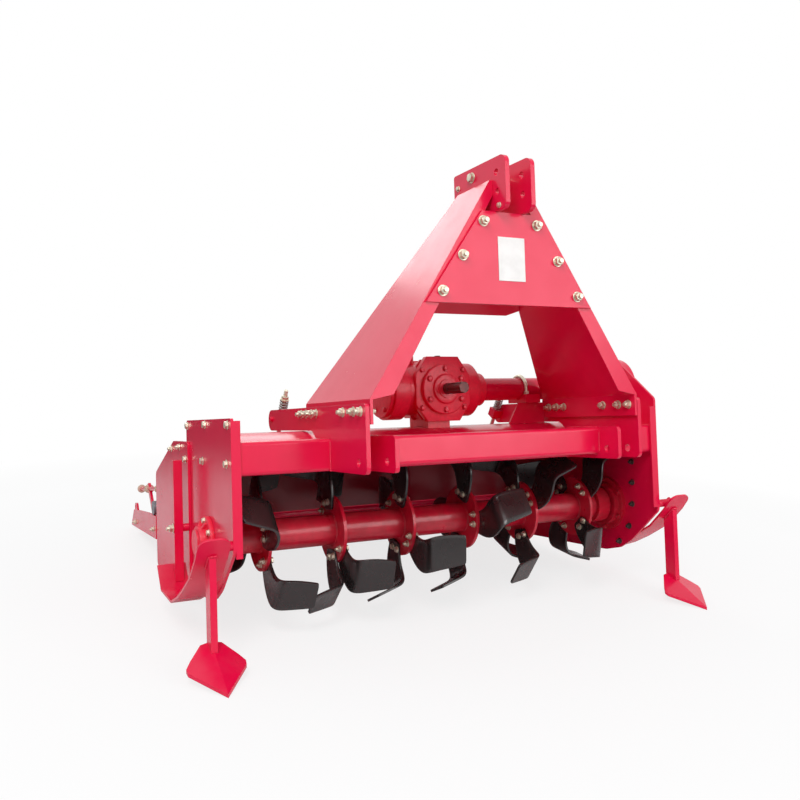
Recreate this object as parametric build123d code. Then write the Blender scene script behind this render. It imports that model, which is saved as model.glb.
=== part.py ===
# Three-point rotary bed former with shovels, skids, a spring-hung bed board and a side drive.
# Sizes are in millimetres. Every piece is drawn with the frame level: x across, y to the rear,
# z up, zero height at the shovel points and zero depth at the front of the hitch plates.
# The finished machine then leans back until the shovel points and the rear plates stand on z = 0.
import os
from math import atan2, cos, degrees, hypot, radians, sin

from build123d import *

os.makedirs("parts", exist_ok=True)

# clearances
seat_gap = 0.3
running_fit = 0.05

# side plates
side_inner = 730.0
side_sheet = 8.0
side_outer = side_inner + side_sheet
side_front = 229.0
side_rear = 745.0
side_foot = 154.0
side_top = 672.0
side_lip = 18.0

# rear plates that form the flanks of the bed, lapped outside the side plates
rear_outer = side_outer + side_sheet
rear_plate_front = 700.0
rear_plate_back = 1222.0
rear_plate_top = 606.0

# square tubes
beam_size = 90.0
beam_wall = 8.0
beam_front = 238.0
beam_bottom = 518.0
beam_top = beam_bottom + beam_size
beam_back = beam_front + beam_size
cross_size = 80.0
cross_wall = 6.0
cross_front = 84.0
cross_bottom = 532.0
tube_corner = 10.0

# hood over the rotor
rotor_y = 483.0
rotor_z = 325.0
hood_radius = 304.0
hood_sheet = 5.0
hood_end_z = rotor_z + 32.0
hood_top = rotor_z + hood_radius

# lower hitch
hitch_outer = 456.0
hitch_sheet = 12.0
hitch_inner = 375.0
arm_bottom = hood_top + 1.0
hitch_top = arm_bottom + 68.0
hitch_inner_top = 615.0
hitch_pin_radius = 11.2
hitch_pin_y = 50.0
hitch_pin_z = 547.0
arm_end = 780.0

# mast
mast_sheet = 8.0
mast_foot_x = hitch_outer - hitch_sheet - mast_sheet - 2.0
mast_foot_z = hitch_top + 10.0
mast_foot_bottom = arm_bottom + 15.0
mast_foot_back = 466.0
mast_head_z = 1308.0
clevis_gap = 70.0
clevis_sheet = 14.0
clevis_half = clevis_gap / 2 + clevis_sheet
mast_head_x = clevis_half + seat_gap
top_pin_radius = 9.7
top_pin_y = -19.0
top_pin_z = 1326.0
gusset_bottom = 962.0
gusset_top = 1219.0

# rotor and drive
rotor_tube = 47.5
rotor_left = -715.0
rotor_right = 640.0
disc_radius = 103.0
disc_sheet = 10.0
station_first = -588.0
station_pitch = 231.5
blade_sheet = 8.0
blade_wing = 108.0
blade_reach = 244.0
blade_bend = 14.0
blade_trail = 18.0
stub_radius = 25.0
stub_reach = 42.0
foot_rise = 16.0
box_bottom = hood_top + foot_rise
drive_z = box_bottom + 102.0
drive_tube = 38.0
pto_radius = 17.45
pto_journal = 22.0
pto_front = 266.0
pto_free = 100.0
box_front = 394.0
box_back = 572.0
box_half = 98.0
cap_radius = 80.0
cap_depth = 16.0
case_reach = 104.0
case_width = 56.0
case_rim = 14.0
case_cap = 18.0
case_bore = stub_reach + 8.0

# hinge bar and the bed board
hinge_y = rotor_y + hood_radius + 13.0
hinge_z = rotor_z + 20.0
hinge_bar = 10.0
hinge_ear = 16.0
ear_sheet = 10.0
ear_inset = 122.0
board_clear = 8.0
board_half = side_inner - board_clear
board_sheet = 6.0
board_flat_z = 250.0
board_end = 1700.0
cheek_front = rear_plate_back + 18.0
cheek_end = 1785.0
cheek_bottom = 242.0
lug_y = cheek_end - 113.0
lug_z = 326.0
lug_hole = 9.0
pipe_radius = 26.0
pipe_y = cheek_front + 51.0
pipe_z = 352.0
adjuster_x = side_outer - 18.0
adjuster_end = 1699.0
adjuster_rod = 8.0

# spring rods between the hitch arms and the bed board
rod_x = hitch_outer - 31.0
rod_radius = 7.0
swivel_y = arm_end - 38.0
swivel_z = arm_bottom + 38.0
swivel_pin = 8.0
eye_y = 960.0
eye_z = 330.0
eye_pin = 6.0
eye_play = 3.5
eye_sheet = 14.0
spring_radius = 15.0
spring_wire = 2.6
spring_turns = 5
spring_length = 58.0
rod_top = 112.0

# skids and shovels
skid_inner = 752.0
skid_outer = 838.0
skid_sheet = 7.0
strut_x = skid_inner + 27.0
strut_y = rear_plate_front + 5.0
shank_x = (skid_inner + skid_outer) / 2
shank_sheet = 18.0
shovel_tip_y = 95.0
shovel_sheet = 8.0

pieces = {}


def mirrored(shape):
    return mirror(shape, about=Plane.YZ)


def pair(name, left):
    pieces[f"{name}_left"] = left
    pieces[f"{name}_right"] = mirrored(left)


def outline(points):
    # a closed outline; a point's third number is its corner radius
    face = Sketch() + make_face(Polyline(*[point[:2] for point in points], close=True))
    for point in points:
        if len(point) > 2:
            corner = face.vertices().sort_by_distance((point[0], point[1], 0))[0]
            face = fillet(corner, point[2])
    return face


def sheet_across(points, x_from, x_to):
    # closed outline in (y, z), thick across the machine
    plane = Plane((x_from, 0, 0), x_dir=(0, 1, 0), z_dir=(1, 0, 0))
    return extrude(plane * outline(points), amount=x_to - x_from)


def sheet_facing(points, y_from, y_to):
    # closed outline in (x, z), thick along the machine
    plane = Plane((0, y_to, 0), x_dir=(1, 0, 0), z_dir=(0, -1, 0))
    return extrude(plane * outline(points), amount=y_to - y_from)


def rod_across(y, z, radius, x_from, x_to):
    return Pos((x_from + x_to) / 2, y, z) * Rot(0, 90, 0) * Cylinder(radius, x_to - x_from)


def rod_along(x, z, radius, y_from, y_to):
    return Pos(x, (y_from + y_to) / 2, z) * Rot(90, 0, 0) * Cylinder(radius, y_to - y_from)


def rod_between(start, end, radius):
    direction = Vector(*end) - Vector(*start)
    base = (Align.CENTER, Align.CENTER, Align.MIN)
    return Plane(origin=start, z_dir=direction) * Cylinder(radius, direction.length, align=base)


def block(x_from, x_to, y_from, y_to, z_from, z_to):
    middle = Pos((x_from + x_to) / 2, (y_from + y_to) / 2, (z_from + z_to) / 2)
    return middle * Box(x_to - x_from, y_to - y_from, z_to - z_from)


def square_tube(front, bottom, size, wall, half_length):
    outer = RectangleRounded(size, size, tube_corner)
    inner = RectangleRounded(size - 2 * wall, size - 2 * wall, tube_corner - wall + 2)
    plane = Plane((-half_length, front + size / 2, bottom + size / 2), x_dir=(0, 1, 0), z_dir=(1, 0, 0))
    return extrude(plane * (outer - inner), amount=2 * half_length)


def beside(path, distance):
    # the path's parallel on its left side, mitred at the bends
    shifted = []
    for place, (y, z) in enumerate(path):
        back = path[max(place - 1, 0)]
        ahead = path[min(place + 1, len(path) - 1)]
        first = (y - back[0], z - back[1]) if place > 0 else (ahead[0] - y, ahead[1] - z)
        last = (ahead[0] - y, ahead[1] - z) if place < len(path) - 1 else first
        n1 = (-first[1] / hypot(*first), first[0] / hypot(*first))
        n2 = (-last[1] / hypot(*last), last[0] / hypot(*last))
        scale = distance / (1 + n1[0] * n2[0] + n1[1] * n2[1])
        shifted.append((y + (n1[0] + n2[0]) * scale, z + (n1[1] + n2[1]) * scale))
    return shifted


def band(path, thickness):
    return list(path) + beside(path, thickness)[::-1]


# side plates: the right one rises to carry the side drive
low_edge = [(side_rear, side_foot), (500, side_foot, 120), (425, 170), (367, 201, 150), (side_front, 318, 25)]
left_outline = [(side_front, side_top, 8), (side_rear, side_top, 20), *low_edge]
case_crown = [(430, 862, 60), (470, 887), (520, 887), (600, 850, 60)]
right_outline = [(side_front, 700, 20), *case_crown, (side_rear, 720, 40), *low_edge]
stub_bore = rod_across(rotor_y, rotor_z, stub_radius + running_fit, side_inner - 40, side_outer + case_bore)
side_left = sheet_across(left_outline, -side_outer, -side_inner)
side_left += block(-side_inner, -side_inner + side_lip, side_front, side_front + 7, 305, side_top - 7)
pieces["side_plate_left"] = side_left - mirrored(stub_bore)
side_right = sheet_across(right_outline, side_inner, side_outer)
side_right += block(side_inner - side_lip, side_inner, side_front, side_front + 7, 330, side_top)
pieces["side_plate_right"] = side_right - stub_bore

rear_outline = [
    (rear_plate_front, side_foot),
    (rear_plate_back, side_foot, 15),
    (rear_plate_back, 488, 25),
    (905, rear_plate_top, 40),
    (rear_plate_front, rear_plate_top, 12),
]
pair("rear_plate", sheet_across(rear_outline, -rear_outer, -side_outer))

# square tubes
pieces["main_beam"] = square_tube(beam_front, beam_bottom, beam_size, beam_wall, side_inner)
cross_end = hitch_inner - hitch_sheet
pieces["cross_tube"] = square_tube(cross_front, cross_bottom, cross_size, cross_wall, cross_end)

# hitch plates: the outer ones run back over the beam to the spring lugs
outer_outline = [
    (0, beam_bottom, 18),
    (beam_front, beam_bottom),
    (beam_front, beam_top),
    (beam_back + 20, beam_top),
    (beam_back + 50, arm_bottom, 30),
    (arm_end, arm_bottom, 32),
    (arm_end, hitch_top, 32),
    (0, hitch_top, 10),
]
pin_bore = rod_across(hitch_pin_y, hitch_pin_z, hitch_pin_radius, -hitch_outer - 5, -hitch_inner + 20)
swivel_bore = rod_across(swivel_y, swivel_z, swivel_pin + running_fit, -hitch_outer - 5, -rod_x)
outer_left = sheet_across(outer_outline, -hitch_outer, -hitch_outer + hitch_sheet)
pair("hitch_plate_outer", outer_left - pin_bore - swivel_bore)
inner_outline = [
    (0, beam_bottom, 14),
    (beam_front, beam_bottom),
    (beam_front, hitch_inner_top),
    (0, hitch_inner_top, 14),
]
inner_left = sheet_across(inner_outline, -hitch_inner, -hitch_inner + hitch_sheet)
pair("hitch_plate_inner", inner_left - pin_bore)

# mast legs: a sloping sheet with a front flange and a foot bolted inside the outer hitch plate
leg_slope = (mast_foot_x - mast_head_x) / (mast_head_z - mast_foot_z)
leg_out = mast_foot_x + mast_sheet
leg_front_view = [
    (-leg_out, mast_foot_bottom),
    (-mast_foot_x, mast_foot_bottom),
    (-mast_foot_x, mast_foot_z),
    (-mast_head_x, mast_head_z),
    (-mast_head_x - mast_sheet * 1.19, mast_head_z),
    (-leg_out, mast_foot_z + 2),
]
leg_low = (412, 801)
leg_high = (170, mast_head_z)
leg_side_view = [
    (0, mast_foot_bottom),
    (mast_foot_back, mast_foot_bottom),
    (mast_foot_back - 8, mast_foot_z - 2),
    leg_low,
    leg_high,
    (0, mast_head_z),
]
leg_left = sheet_facing(leg_front_view, 0, mast_foot_back)
leg_left &= sheet_across(leg_side_view, -leg_out, 0)
flange_view = [
    (-mast_foot_x, mast_foot_z),
    (-mast_foot_x + 60, mast_foot_z + 12),
    (-mast_head_x, mast_head_z - 40),
    (-mast_head_x, mast_head_z),
]
leg_left += sheet_facing(flange_view, 0, 6)
pair("mast_leg", leg_left)
gusset = [(-274, gusset_bottom), (274, gusset_bottom), (92, gusset_top), (-92, gusset_top)]
pieces["mast_gusset_front"] = sheet_facing(gusset, -mast_sheet, 0)
label = [(-44, 1028), (44, 1028), (44, 1150), (-44, 1150)]
pieces["label_plate"] = sheet_facing(label, -mast_sheet - 1.5, -mast_sheet)

# rear gusset, in the slope of the legs' rear edges
rise = hypot(leg_high[0] - leg_low[0], leg_high[1] - leg_low[1])
slope_up = Vector(0, (leg_high[0] - leg_low[0]) / rise, (leg_high[1] - leg_low[1]) / rise)
slope_out = Vector(0, slope_up.Z, -slope_up.Y)
rear_view = []
for along, inset in ((200, 60), (218, 0), (330, 0)):
    level = leg_low[1] + along * slope_up.Z
    rear_view.append((mast_foot_x - leg_slope * (level - mast_foot_z) - seat_gap - inset, along))
rear_view += [(-x, along) for x, along in rear_view[::-1]]
rear_plane = Plane(Vector(0, *leg_low), x_dir=(1, 0, 0), z_dir=-slope_out)
rear_face = rear_plane * make_face(Polyline(*rear_view, close=True))
pieces["mast_gusset_rear"] = extrude(rear_face, amount=mast_sheet)

# top clevis
clevis_outline = [
    (4, gusset_top + seat_gap),
    (4, 1208),
    (20, 1207),
    (205, 1266, 22),
    (205, 1373, 8),
    (-63, 1368, 24),
    (-63, gusset_top + seat_gap, 20),
]
clevis_left = sheet_across(clevis_outline, -clevis_half, -clevis_gap / 2)
clevis_left -= rod_across(top_pin_y, top_pin_z, top_pin_radius, -60, 0)
clevis_left -= rod_across(top_pin_y - 2, top_pin_z - 55, top_pin_radius, -60, 0)
pair("top_clevis", clevis_left)
pieces["clevis_spacer"] = rod_across(104, 1343, 15, -clevis_gap / 2, clevis_gap / 2)

# gearbox: turned steps along the side drive, left to right
# radius, from x, to x
gearbox_turned = (
    (86, -183, -170),
    (94, -170, -118),
    (82, -118, 80),
    (88, 80, 140),
    (76, 140, 152),
    (55, 152, 187),
)
# plugs and bosses on top: x, y, radius, height over the drive's axis
gearbox_plugs = (
    (-77, rotor_y, 17, 108),
    (-144, rotor_y, 13, 106),
    (36, rotor_y + 6, 15, 104),
)
face_view = [
    (57, drive_z + 104),
    (box_half, drive_z + 45),
    (box_half, drive_z - 48),
    (58, box_bottom),
]
face_view += [(-x, z) for x, z in face_view[::-1]]
body_view = [(x * 0.86, drive_z + (z - drive_z) * 0.88) for x, z in face_view]


def rib_round(y):
    # a cast rib round the body between the front face and the rear wall
    view = [(x * 0.93, drive_z + (z - drive_z) * 0.94) for x, z in face_view]
    return sheet_facing(view, y, y + 9)


housing = sheet_facing(face_view, box_front, box_front + 22)
housing += sheet_facing(body_view, box_front + 20, box_back)
for radius, x_from, x_to in gearbox_turned:
    housing += rod_across(rotor_y, drive_z, radius, x_from, x_to)
pto_bore = rod_along(0, drive_z, pto_journal + running_fit, pto_front, box_front + 66)
for x, across, radius, height in gearbox_plugs:
    boss = Pos(x, across, drive_z) * Cylinder(radius, height, align=(Align.CENTER, Align.CENTER, Align.MIN))
    housing += boss
for y in (box_front + 50, box_front + 110):
    housing += rib_round(y)
pieces["gearbox_housing"] = housing - pto_bore
cap = rod_along(0, drive_z, cap_radius, box_front - cap_depth, box_front)
cap += rod_along(0, drive_z, cap_radius - 34, box_front - cap_depth - 8, box_front)
pieces["gearbox_cap"] = cap - pto_bore
shaft = rod_along(0, drive_z, pto_radius, pto_front, pto_front + pto_free)
shaft += rod_along(0, drive_z, pto_radius - 2.5, pto_front + pto_free, box_front - cap_depth)
pieces["pto_shaft"] = shaft + rod_along(0, drive_z, pto_journal, box_front - cap_depth - 4, box_front + 61)
pieces["side_drive_tube"] = rod_across(rotor_y, drive_z, drive_tube, 187, side_inner)
hood_room = rod_across(rotor_y, rotor_z, hood_radius + seat_gap, -side_inner, side_inner)
foot = block(-45, 35, rotor_y - 63, rotor_y + 62, hood_top - 29, drive_z - 60)
pieces["gearbox_foot"] = foot - housing - hood_room
stand_top = hitch_top
stand_side = mast_foot_x - seat_gap
stand_view = [(270, hood_top - 29), (stand_side, hood_top - 29), (stand_side, stand_top), (328, stand_top)]
stand = sheet_facing(stand_view, rotor_y - 33, rotor_y - 27)
stand += block(345, 405, rotor_y - 53, rotor_y + 53, stand_top, drive_z - 20)
stand -= rod_across(rotor_y, drive_z, drive_tube + seat_gap, 300, 460)
pieces["tube_stand"] = stand - hood_room

# side drive case outside the right plate, and the bearings of the rotor


def chain_case(reach, x_from, x_to):
    body = rod_across(rotor_y, rotor_z, reach, x_from, x_to)
    body += rod_across(rotor_y, drive_z, reach, x_from, x_to)
    return body + block(x_from, x_to, rotor_y - reach, rotor_y + reach, rotor_z, drive_z)


case = chain_case(case_reach + case_rim, side_outer, side_outer + 10)
case += chain_case(case_reach, side_outer + 10, side_outer + case_width)
case += chain_case(case_reach - 26, side_outer + case_width, side_outer + case_width + 6)
for z, radius in ((rotor_z, 56), (drive_z, 48)):
    case += rod_across(rotor_y, z, radius, side_outer + case_width, side_outer + case_width + case_cap)
pieces["drive_case"] = case - stub_bore
hub = rod_across(rotor_y, rotor_z, 94, side_inner - 14, side_inner)
hub += rod_across(rotor_y, rotor_z, 75, side_inner - 32, side_inner - 14)
pieces["bearing_hub"] = hub - stub_bore
bearing = rod_across(rotor_y, rotor_z, 70, -side_outer - stub_reach, -side_outer)
pieces["rotor_bearing"] = bearing - mirrored(stub_bore)

# hood over the rotor
hood = rod_across(rotor_y, rotor_z, hood_radius, -side_inner, side_inner)
hood -= rod_across(rotor_y, rotor_z, hood_radius - hood_sheet, -side_inner, side_inner)
hood_part = block(-side_inner, side_inner, beam_back, hinge_y + 100, hood_end_z, hood_top + 50)
pieces["rotor_hood"] = hood & hood_part

# rotor: tube, discs and stubs, with four blades at each disc
rotor = rod_across(rotor_y, rotor_z, rotor_tube, rotor_left, rotor_right)
rotor += rod_across(rotor_y, rotor_z, 62, rotor_right, rotor_right + 50)
rotor += rod_across(rotor_y, rotor_z, stub_radius, -side_outer - stub_reach + 8, rotor_left)
rotor += rod_across(rotor_y, rotor_z, stub_radius, rotor_right + 50, side_outer + stub_reach)
# angles of each disc's blades, from the left end to the right
# right blade's lead, left blade's lead; a second pair stands opposite
blade_leads = (
    (-134, -25),
    (-141, -115),
    (-156, -93),
    (167, -91),
    (132, -122),
    (118, -150),
)
stations = []
for number, (right_lead, left_lead) in enumerate(blade_leads):
    stations.append((station_first + number * station_pitch, right_lead, left_lead))
for x, *leads in stations:
    rotor += rod_across(rotor_y, rotor_z, disc_radius, x - disc_sheet / 2, x + disc_sheet / 2)
pieces["rotor_shaft"] = rotor


# a blade in its own frame: y out from the rotor, z the way it turns, x across to its wing.
# The shank bends softly into a raked wing that trails behind its leading corner.
bend_out = blade_reach - 55
wing_out = blade_reach - 16
bend_path = [(0, 20), (0, bend_out), (blade_wing, wing_out)]
inner_path = beside(bend_path, -blade_sheet)
bent_view = [bend_path[0], (*bend_path[1], blade_bend + blade_sheet), bend_path[2]]
bent_view += [inner_path[2], (*inner_path[1], blade_bend), inner_path[0]]
bent_sheet = extrude(outline(bent_view), amount=160) + extrude(outline(bent_view), amount=-40)
lead_end = (bend_out, blade_reach - 96)
trail_end = (bend_out, 16)
lead_arc = ThreePointArc(lead_end, (97, 124), (29, 59))
trail_arc = ThreePointArc((65, 14), (135, 38), trail_end)
shank_edge = Line(trail_end, lead_end) + lead_arc + Line((29, 59), (65, 14)) + trail_arc
shank_plane = Plane((0, 0, 0), x_dir=(0, 1, 0), z_dir=(1, 0, 0))
shank_part = extrude(shank_plane * make_face(shank_edge), amount=blade_sheet)
# the wing's outline seen from the rotor: across, and back from its lead
wing_view = [
    (blade_sheet, -lead_end[1] + 5),
    (blade_wing, -75, 10),
    (blade_wing, 16, 16),
    (blade_sheet, -trail_end[1] + 2),
]
wing_plane = Plane((0, bend_out - 40, 0), x_dir=(1, 0, 0), z_dir=(0, 1, 0))
wing_part = extrude(wing_plane * outline(wing_view), amount=100)
blade = bent_sheet & (shank_part + wing_part)
for number, (x, right_lead, left_lead) in enumerate(stations):
    blades = []
    for side, lead in ((1, right_lead), (-1, left_lead)):
        turned = blade if side > 0 else mirrored(blade)
        place_at = Pos(x + side * disc_sheet / 2, rotor_y, rotor_z)
        for turn in (0, 180):
            blades.append(place_at * Rot(lead - blade_trail + turn, 0, 0) * turned)
    pieces[f"blade_set_{number + 1}"] = Compound(children=blades)

# hinge bar under the hood's rear edge: ears reach up to the hood between the board's knuckles
ears = [-board_half + ear_inset, -240, 240, board_half - ear_inset]
bar = rod_across(hinge_y, hinge_z, hinge_bar, -side_outer, side_outer)
ear_view = [
    (hinge_y - 14, hinge_z - 8),
    (hinge_y + 12, hinge_z - 10),
    (hinge_y + 14, hinge_z + 6),
    (hinge_y - 6, hood_end_z + 40),
    (760, hood_end_z + 40),
    (775, hood_end_z - 20),
]
for x in ears:
    bar += sheet_across(ear_view, x - ear_sheet / 2, x + ear_sheet / 2)
pieces["hinge_bar"] = bar - hood_room

# bed board: knuckles on the bar, a sloping front and a flat rear between the cheeks
board_path = [(hinge_y + 24, hinge_z - 16), (hinge_y + 200, board_flat_z), (cheek_front, board_flat_z)]
board = sheet_across(band(board_path, board_sheet), -board_half, board_half)
rear_path = [(cheek_front, board_flat_z), (board_end, board_flat_z)]
board += sheet_across(band(rear_path, board_sheet), -side_outer, side_outer)
knuckles = [-board_half, *ears, board_half]
tongue_view = [
    (hinge_y, hinge_z - hinge_ear),
    (hinge_y, hinge_z - hinge_ear + 6),
    (hinge_y + 30, hinge_z - 13),
    (hinge_y + 28, hinge_z - 20),
]
for place in range(len(knuckles) - 1):
    x_from = knuckles[place] + (ear_sheet if place else 0)
    x_to = knuckles[place + 1] - (ear_sheet if place < len(ears) else 0)
    board += rod_across(hinge_y, hinge_z, hinge_ear, x_from, x_to)
    board += sheet_across(tongue_view, x_from, x_to)
board -= rod_across(hinge_y, hinge_z, hinge_bar + running_fit, -side_inner, side_inner)
lug_low = board_flat_z - 5
lug_view = [
    (eye_y - 32, lug_low + 17),
    (eye_y + 40, lug_low),
    (eye_y + 14, eye_z + 14, 12),
    (eye_y - 14, eye_z + 14, 12),
]
for side in (-1, 1):
    middle = side * rod_x
    for inner in (-1, 1):
        edge = middle + inner * (eye_sheet / 2 + 1)
        board += sheet_across(lug_view, min(edge, edge + inner * 8), max(edge, edge + inner * 8))
    board += rod_across(eye_y, eye_z, eye_pin, middle - eye_sheet / 2 - 9, middle + eye_sheet / 2 + 9)
under = [(hinge_y + 20, 200), (hinge_y + 20, hinge_z - 20), *board_path, (cheek_front, 200)]
pieces["bed_board"] = board - sheet_across(under, -rod_x - 40, rod_x + 40)

cheek_top = pipe_z - pipe_radius - seat_gap
cheek_outline = [
    (cheek_front, cheek_bottom),
    (cheek_end, cheek_bottom, 4),
    (cheek_end - 68, 312, 14),
    (lug_y + 18, 312),
    (lug_y + 18, lug_z + 16, 14),
    (lug_y - 18, lug_z + 16, 14),
    (lug_y - 36, lug_z - 10),
    (pipe_y + 109, cheek_top),
    (cheek_front, cheek_top),
]
cheek = sheet_across(cheek_outline, -rear_outer, -side_outer)
pair("board_cheek", cheek - rod_across(lug_y, lug_z, lug_hole, -rear_outer - 5, -side_outer + 5))
pieces["board_pipe"] = rod_across(pipe_y, pipe_z, pipe_radius, -rear_outer, rear_outer)
board_top = board_flat_z + board_sheet
adjuster_start = (-adjuster_x, pipe_y - 134, 430)
adjuster = rod_between(adjuster_start, (-adjuster_x, adjuster_end, 397), adjuster_rod)
adjuster += sheet_across(
    [(pipe_y - 22, pipe_z), (pipe_y + 22, pipe_z), (pipe_y + 12, 436), (pipe_y - 12, 436)],
    -adjuster_x - 5,
    -adjuster_x + 5,
)
strip_view = [
    (pipe_y + 49, board_top),
    (pipe_y + 77, board_top),
    (pipe_y + 231, 424),
    (pipe_y + 206, 432),
]
adjuster += sheet_across(strip_view, -adjuster_x - 5, -adjuster_x + 5)
pipe_room = rod_across(pipe_y, pipe_z, pipe_radius + seat_gap, -rear_outer, rear_outer)
pair("board_adjuster", adjuster - pipe_room)

# spring rods: each slides through a block that swivels on the hitch arm
reach = hypot(eye_y - swivel_y, eye_z - swivel_z)
rod_line = Vector(0, (swivel_y - eye_y) / reach, (swivel_z - eye_z) / reach)
swivel_at = Vector(-rod_x, swivel_y, swivel_z)
eye_at = Vector(-rod_x, eye_y, eye_z)


def on_rod(radius, start, length):
    base = (Align.CENTER, Align.CENTER, Align.MIN)
    return Plane(origin=swivel_at + rod_line * start, z_dir=rod_line) * Cylinder(radius, length, align=base)


swivel_side = hitch_outer - hitch_sheet - seat_gap
swivel_frame = Plane(origin=swivel_at, x_dir=(1, 0, 0), z_dir=rod_line)
swivel = swivel_frame * Box(2 * (swivel_side - rod_x), 34, 32)
swivel += rod_across(swivel_y, swivel_z, swivel_pin, -hitch_outer - 8, -rod_x - 12)
pair("rod_swivel", swivel - on_rod(rod_radius + running_fit, -30, 60))
spring_start = 16 + seat_gap
spring_end = spring_start + spring_length
coil_core = spring_radius - 2 * spring_wire + 0.6
coil_pitch = (spring_length - 2 * spring_wire) / (spring_turns - 1)
rod_start = -reach + eye_pin + eye_play
profile = [(0, rod_start), (rod_radius, rod_start), (rod_radius, spring_start), (coil_core, spring_start)]
for turn in range(spring_turns):
    along = spring_start + spring_wire + turn * coil_pitch
    profile += [(coil_core, along - spring_wire + 0.4), (spring_radius, along - 1.2)]
    profile += [(spring_radius, along + 1.2), (coil_core, along + spring_wire - 0.4)]
profile += [(coil_core, spring_end), (spring_radius, spring_end), (spring_radius, spring_end + 3)]
profile += [(11, spring_end + 3), (11, spring_end + 13), (rod_radius, spring_end + 13)]
profile += [(rod_radius, rod_top), (0, rod_top)]
rod_plane = Plane(origin=swivel_at, x_dir=(1, 0, 0), z_dir=Vector(1, 0, 0).cross(rod_line))
rod = revolve(rod_plane * make_face(Polyline(*profile, close=True)), axis=Axis(swivel_at, rod_line))
ring = rod_across(eye_y, eye_z, eye_pin + eye_play + 7, -rod_x - eye_sheet / 2, -rod_x + eye_sheet / 2)
rod = (rod + ring) - rod_across(eye_y, eye_z, eye_pin + eye_play, -rod_x - eye_sheet, -rod_x + eye_sheet)
pieces["spring_rod_left"] = rod
pieces["spring_rod_right"] = Pos(2 * rod_x, 0, 0) * rod

# skids: a bent runner, a pipe and ear at its nose, and a strut at its tail
skid_path = [(182, 366), (224, 317), (293, 256), (389, 206), (463, 174), (541, 150), (683, 160), (736, 227)]
skid = sheet_across(band(skid_path, skid_sheet), -skid_outer, -skid_inner)
skid += rod_across(241, 340, 13, -shank_x - 12, -side_outer)
skid += sheet_across([(224, 320), (262, 286), (262, 342), (243, 358), (224, 345)], -shank_x - 4, -shank_x + 4)
pair("skid", skid)
strut = block(-strut_x - 13.5, -strut_x + 13.5, strut_y - 15, strut_y + 15, 150, 550)
below_skid = beside(skid_path, skid_sheet + seat_gap) + [(760, 120), (182, 120)]
strut -= sheet_across(below_skid, -skid_outer, -skid_inner)
strut += rod_across(strut_y, 342, 12, -strut_x, -rear_outer)
pair("skid_strut", strut)

# shovels: two facets folded down from a ridge, on a flat shank under the skid's nose
fall = 0.5625
splay = 0.2187
half_plan = [(0, shovel_tip_y), (74, 190), (76, 202), (62, 220), (28, 255), (0, 255)]
facet = []
for across, y in half_plan:
    facet.append((across, y, fall * (y - shovel_tip_y) - splay * across))
half_face = make_face(Polyline(*facet, close=True))
shovel_half = extrude(half_face, amount=shovel_sheet * 1.2, dir=(0, 0, 1))
shovel = Pos(-shank_x, 0, 0) * (shovel_half + mirrored(shovel_half))
pair("shovel", shovel)
shank_view = [(218, 60), (262, 60), (262, 340), (218, 340)]
shovel_shank = sheet_across(shank_view, -shank_x - shank_sheet / 2, -shank_x + shank_sheet / 2)
above_skid = beside(skid_path, -seat_gap) + [(760, 500), (100, 500), (100, 380)]
shovel_shank -= sheet_across(above_skid, -skid_outer, -skid_inner)
room_half = extrude(half_face, amount=shovel_sheet * 1.2 + seat_gap, dir=(0, 0, 1))
room_half += extrude(half_face, amount=-80, dir=(0, 0, 1))
shovel_room = Pos(-shank_x, 0, 0) * (room_half + mirrored(room_half))
behind = block(-shank_x - 40, -shank_x + 40, 255, 300, 0, 90)
pair("shovel_shank", shovel_shank - shovel_room - behind)

# the finished machine leans back onto its shovels and rear plates
lean = degrees(atan2(side_foot, rear_plate_back - shovel_tip_y))
lift = shovel_tip_y * sin(radians(lean))
front_y = (beam_bottom + 12) * sin(radians(lean))
back_y = cheek_end * cos(radians(lean)) + cheek_bottom * sin(radians(lean))
middle_y = (front_y + back_y) / 2
for name, shape in pieces.items():
    export_step(Pos(0, -middle_y, lift) * Rot(-lean, 0, 0) * shape, f"parts/{name}.step")
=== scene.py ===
import bpy
from math import atan2, cos, degrees, hypot, pi, radians, sin, sqrt
from mathutils import Matrix, Vector


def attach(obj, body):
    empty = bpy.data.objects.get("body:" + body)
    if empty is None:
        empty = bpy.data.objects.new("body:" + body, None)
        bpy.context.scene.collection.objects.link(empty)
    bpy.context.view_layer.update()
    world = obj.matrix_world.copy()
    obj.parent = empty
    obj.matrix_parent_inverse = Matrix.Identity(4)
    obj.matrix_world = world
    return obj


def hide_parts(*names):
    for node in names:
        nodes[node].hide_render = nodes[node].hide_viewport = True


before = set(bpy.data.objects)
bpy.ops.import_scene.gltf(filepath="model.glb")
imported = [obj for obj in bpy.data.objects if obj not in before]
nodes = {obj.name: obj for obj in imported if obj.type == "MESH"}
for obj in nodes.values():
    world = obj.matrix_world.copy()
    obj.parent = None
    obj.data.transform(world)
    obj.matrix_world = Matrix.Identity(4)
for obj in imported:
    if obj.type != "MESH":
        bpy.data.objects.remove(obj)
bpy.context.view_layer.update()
scene = bpy.context.scene
print("frame loaded", len(nodes), "nodes")

# the machine is drawn level and leans back onto its shovels, as in the frame
stance = {"lean": radians(7.781046), "lift": 0.012862, "middle": 0.936542}
standing = Matrix.Translation((0, -stance["middle"], stance["lift"]))
standing = standing @ Matrix.Rotation(-stance["lean"], 4, "X")

# y and z of the axes that run across the level machine
axes = {"rotor": (0.483, 0.325), "drive": (0.483, 0.747)}
left, right, front, up = (-1, 0, 0), (1, 0, 0), (0, -1, 0), (0, 0, 1)

# camera

cameraSetup = {
    "place": (-1.324, -2.7277, 0.9238),
    "turn": (85.2705, -1.7708, -27.0219),
    "lens": 37.29,
    "sensor": 36,
    "shift": (-0.0011, -0.0178),
    "reach": 60,
}


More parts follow.
